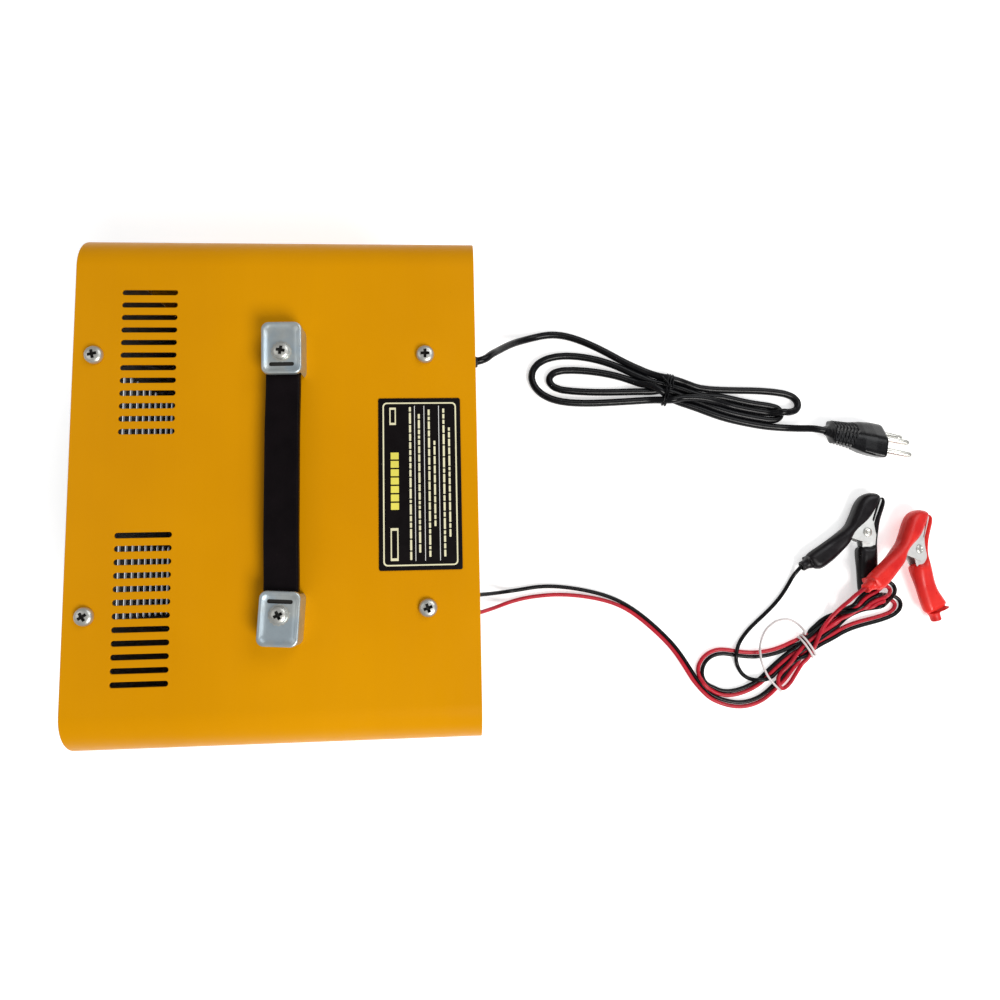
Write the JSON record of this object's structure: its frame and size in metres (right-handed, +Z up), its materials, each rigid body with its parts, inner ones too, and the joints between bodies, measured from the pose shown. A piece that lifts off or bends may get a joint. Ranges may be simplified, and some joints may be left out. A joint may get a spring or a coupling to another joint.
{
  "type": "automotive battery charger",
  "caption": "Transformer car battery charger in a folded yellow steel case with a strap handle, recessed control panel, mains lead with plug and battery leads with booted clips.",
  "frame": {"origin": "on the floor under the middle of the case", "axes": "+Z up, front panel towards -Y, the case is widest along X"},
  "size_m": [0.2614, 0.5039, 0.1527],
  "materials": {
    "yellow_paint": "semi-gloss stoved enamel",
    "zinc": "bright zinc plate",
    "galvanised": "galvanised sheet",
    "clip_steel": "plated spring steel",
    "dark_panel": "satin dark grey",
    "black_rubber": "satin",
    "black_plastic": "satin moulded",
    "red_plastic": "gloss",
    "red_vinyl": "soft semi-gloss vinyl",
    "card": "matte",
    "clear": "clear",
    "label_ink": "printed plate",
    "iron": "varnished laminations",
    "copper": "enamelled wire",
    "aluminium": "plain",
    "pin_brass": "nickelled bright"
  },
  "bodies": {
    "charger": {"top_cover": "yellow_paint", "rear_panel": "galvanised", "base_tray": "galvanised", "front_panel": "dark_panel", "foot_front_left": "black_rubber", "foot_front_right": "black_rubber", "foot_rear_left": "black_rubber", "foot_rear_right": "black_rubber", "handle_strap": "black_rubber", "mains_strain_relief": "black_rubber", "lead_grommet": "black_rubber", "mains_cord_run": "black_rubber", "mains_cord_hank": "black_rubber", "mains_cord_tail": "black_rubber", "black_lead_run": "black_rubber", "black_lead_tail": "black_rubber", "cover_screw_front_left": "zinc", "cover_screw_front_right": "zinc", "cover_screw_rear_left": "zinc", "cover_screw_rear_right": "zinc", "handle_cap_left": "zinc", "handle_cap_right": "zinc", "handle_screw_left": "zinc", "handle_screw_right": "zinc", "black_clip_rivet": "zinc", "red_clip_rivet": "zinc", "label_plate": "label_ink", "meter_case": "black_plastic", "switch_housing": "black_plastic", "selector_body": "black_plastic", "fuse_holder": "black_plastic", "bridge_rectifier": "black_plastic", "thermal_breaker": "black_plastic", "plug_body": "black_plastic", "black_clip_fixed_boot": "black_plastic", "meter_dial": "card", "meter_window": "clear", "charge_lamp": "red_plastic", "transformer_core": "iron", "transformer_coil": "copper", "heat_sink": "aluminium", "red_lead_run": "red_vinyl", "battery_lead_hank": "red_vinyl", "red_lead_tail": "red_vinyl", "red_clip_fixed_boot": "red_vinyl", "black_clip_fixed_jaw": "clip_steel", "black_clip_spring": "clip_steel", "red_clip_fixed_jaw": "clip_steel", "red_clip_spring": "clip_steel", "plug_pin_line": "pin_brass", "plug_pin_earth": "pin_brass", "plug_pin_neutral": "pin_brass"},
    "meter_pointer": {"meter_needle": "black_plastic"},
    "rocker": {"power_rocker": "red_plastic"},
    "selector": {"selector_slider": "red_plastic"},
    "fuse_carrier": {"fuse_cap": "black_plastic"},
    "black_lever": {"black_clip_moving_jaw": "clip_steel", "black_clip_moving_boot": "black_plastic"},
    "red_lever": {"red_clip_moving_jaw": "clip_steel", "red_clip_moving_boot": "red_vinyl"}
  },
  "joints": [
    {"name": "meter_needle_swing", "type": "hinge", "parent": "charger", "child": "meter_pointer", "pos_m": [0, -0.0803, 0.081], "axis": [0, 1, 0], "range_deg": [0, 84], "stiffness_Nm_per_rad": 0.0002, "springref_deg": -2.86},
    {"name": "power_rocker_tilt", "type": "hinge", "parent": "charger", "child": "rocker", "pos_m": [0.066, -0.0748, 0.098], "axis": [-1, 0, 0], "range_deg": [0, 20]},
    {"name": "voltage_selector_slide", "type": "slide", "parent": "charger", "child": "selector", "axis": [1, 0, 0], "range_m": [0, 0.006]},
    {"name": "fuse_cap_turn", "type": "hinge", "parent": "charger", "child": "fuse_carrier", "pos_m": [-0.066, -0.082, 0.066], "axis": [0, 1, 0], "range_deg": [0, 90]},
    {"name": "black_clip_open", "type": "hinge", "parent": "charger", "child": "black_lever", "pos_m": [-0.0225, -0.3568, 0.0061], "axis": [0, 0, -1], "range_deg": [0, 25], "stiffness_Nm_per_rad": 0.2, "springref_deg": -22.92},
    {"name": "red_clip_open", "type": "hinge", "parent": "charger", "child": "red_lever", "pos_m": [-0.0348, -0.3881, 0.01041], "axis": [0, 0.2504, -0.9681], "range_deg": [0, 25], "stiffness_Nm_per_rad": 0.2, "springref_deg": -22.92}
  ]
}
